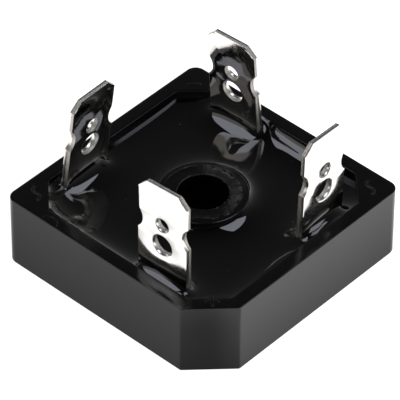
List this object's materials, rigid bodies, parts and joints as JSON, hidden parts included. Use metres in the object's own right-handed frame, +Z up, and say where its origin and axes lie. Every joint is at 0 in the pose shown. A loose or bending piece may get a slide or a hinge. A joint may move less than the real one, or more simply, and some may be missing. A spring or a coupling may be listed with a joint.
{
  "type": "bridge rectifier",
  "caption": "Square black potted bridge rectifier block with a cut corner, a screw hole through its middle and upright nickel-plated push-on blades, one at each side.",
  "frame": {"origin": "on the screw hole's axis, at the level of the flat underside", "axes": "+Z up along the screw hole towards the blades' tips; the cut corner that marks plus points to +X and -Y; the plus blade stands near the -Y side, the minus blade near +Y, the AC blades near +X and -X"},
  "size_m": [0.0286, 0.0286, 0.0196],
  "materials": {
    "black_moulding": "black glass-filled polyester, moulded, slightly rough",
    "base_metal": "plain rolled aluminium, flat ground",
    "adhesive": "pale heat-conducting silicone",
    "ceramic": "white alumina ceramic, unglazed",
    "copper": "bare copper strip",
    "silicon": "grey passivated silicon chip with metal faces",
    "solder": "soft solder, matt",
    "nickel": "nickel-plated copper, satin, with sheared edges",
    "resin": "black cast epoxy, glossy, climbing at walls and blades"
  },
  "bodies": {
    "root": {"housing": "black_moulding", "base_plate": "base_metal", "wafer_adhesive": "adhesive", "ceramic_wafer": "ceramic", "plus_plate": "copper", "minus_plate": "copper", "right_ac_link": "copper", "left_ac_link": "copper", "diode_chip_front_right": "silicon", "diode_chip_front_left": "silicon", "diode_chip_rear_right": "silicon", "diode_chip_rear_left": "silicon", "chip_solder_lower_front_right": "solder", "chip_solder_lower_front_left": "solder", "chip_solder_lower_rear_right": "solder", "chip_solder_lower_rear_left": "solder", "chip_solder_upper_front_right": "solder", "chip_solder_upper_front_left": "solder", "chip_solder_upper_rear_right": "solder", "chip_solder_upper_rear_left": "solder", "plus_foot_solder": "solder", "right_ac_foot_solder": "solder", "minus_foot_solder": "solder", "left_ac_foot_solder": "solder", "plus_blade": "nickel", "right_ac_blade": "nickel", "minus_blade": "nickel", "left_ac_blade": "nickel", "potting": "resin"}
  },
  "joints": []
}
